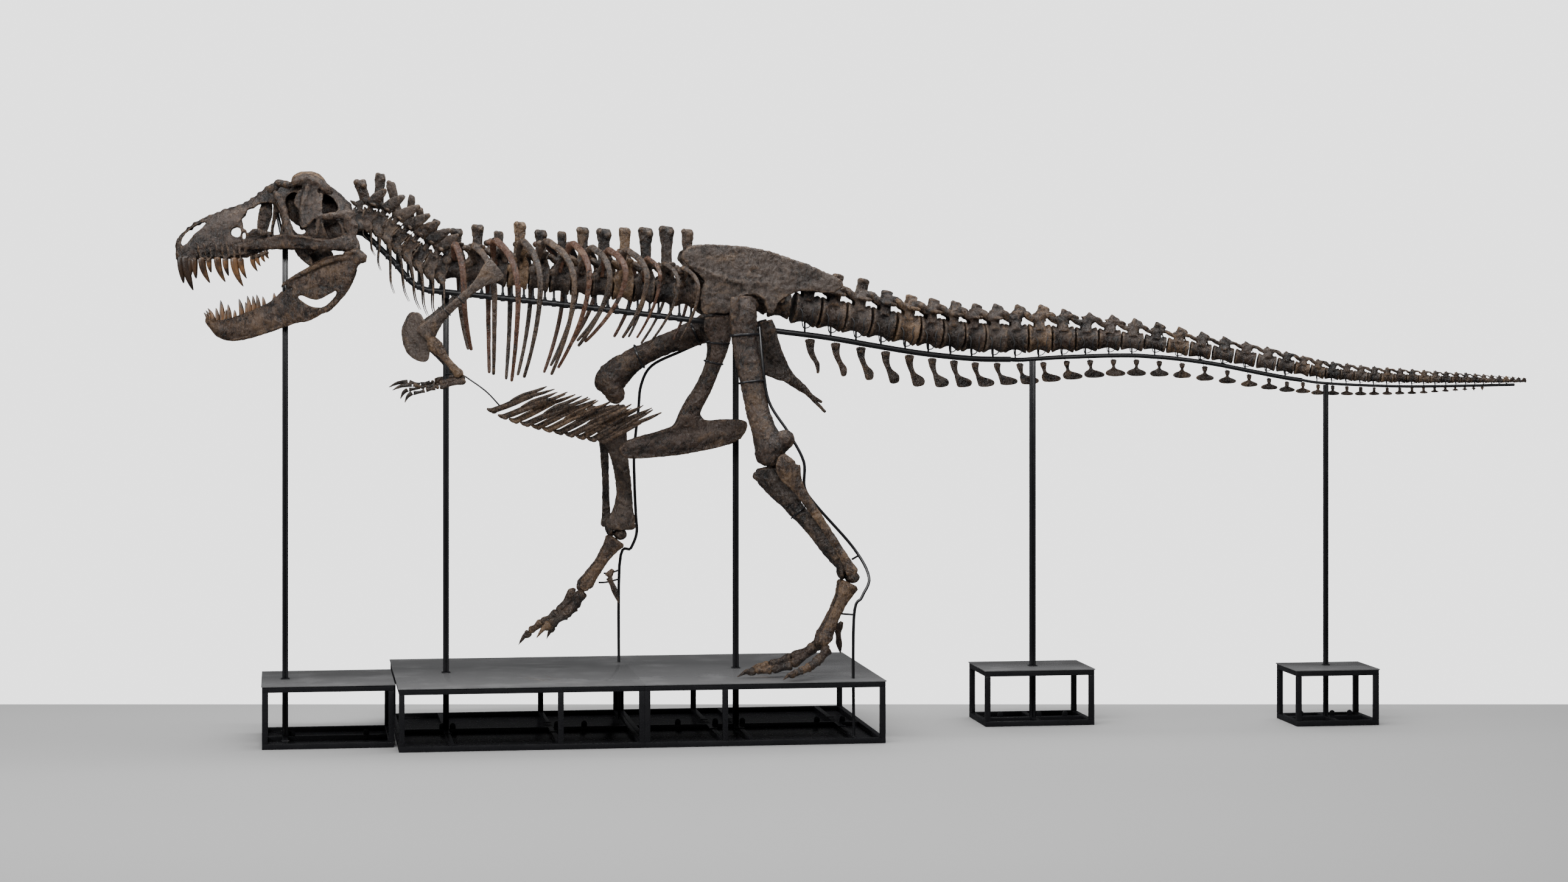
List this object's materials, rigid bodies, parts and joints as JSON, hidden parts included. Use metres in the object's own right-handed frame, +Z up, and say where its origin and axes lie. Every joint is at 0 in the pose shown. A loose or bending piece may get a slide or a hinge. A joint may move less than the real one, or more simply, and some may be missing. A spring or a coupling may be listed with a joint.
{
  "type": "mounted dinosaur skeleton",
  "caption": "Walking tyrannosaur skeleton with open jaws and a raised tail, held by a black steel bar, posts and low platforms with glossy tops.",
  "frame": {"origin": "on the floor, in the plane of the spine, near the middle of the long platform under its front half", "axes": "+Z up, -X where the skull points, +X to the tail, -Y the animal's left side"},
  "size_m": [10.3082, 1.992, 4.2019],
  "materials": {
    "bone": "dark brown fossil bone, matt",
    "steel": "satin black paint",
    "deck": "glossy black sheet"
  },
  "bodies": {
    "root": {"skull": "bone", "lower_jaw": "bone", "neck": "bone", "trunk_left": "bone", "trunk_right": "bone", "sacrum": "bone", "gastralia": "bone", "tail_1": "bone", "tail_2": "bone", "tail_3": "bone", "tail_4": "bone", "ilium_left": "bone", "pubis_left": "bone", "ischium_left": "bone", "femur_left": "bone", "tibia_left": "bone", "fibula_left": "bone", "metatarsus_left": "bone", "digit_2_left": "bone", "digit_3_left": "bone", "digit_4_left": "bone", "scapula_left": "bone", "humerus_left": "bone", "forearm_left": "bone", "hand_left": "bone", "ilium_right": "bone", "pubis_right": "bone", "ischium_right": "bone", "femur_right": "bone", "tibia_right": "bone", "fibula_right": "bone", "metatarsus_right": "bone", "digit_2_right": "bone", "digit_3_right": "bone", "digit_4_right": "bone", "scapula_right": "bone", "humerus_right": "bone", "forearm_right": "bone", "hand_right": "bone", "platform_front_frame": "steel", "platform_front_deck": "deck", "platform_rear_frame": "steel", "platform_rear_deck": "deck", "head_base_frame": "steel", "head_base_deck": "deck", "tail_base_1_frame": "steel", "tail_base_1_deck": "deck", "tail_base_2_frame": "steel", "tail_base_2_deck": "deck", "head_post": "steel", "shoulder_post": "steel", "hip_post": "steel", "tail_post_1": "steel", "tail_post_2": "steel", "front_bar": "steel", "tail_bar_1": "steel", "tail_bar_2": "steel", "tail_bar_3": "steel", "leg_rod_left": "steel", "leg_rod_right": "steel"}
  },
  "joints": []
}
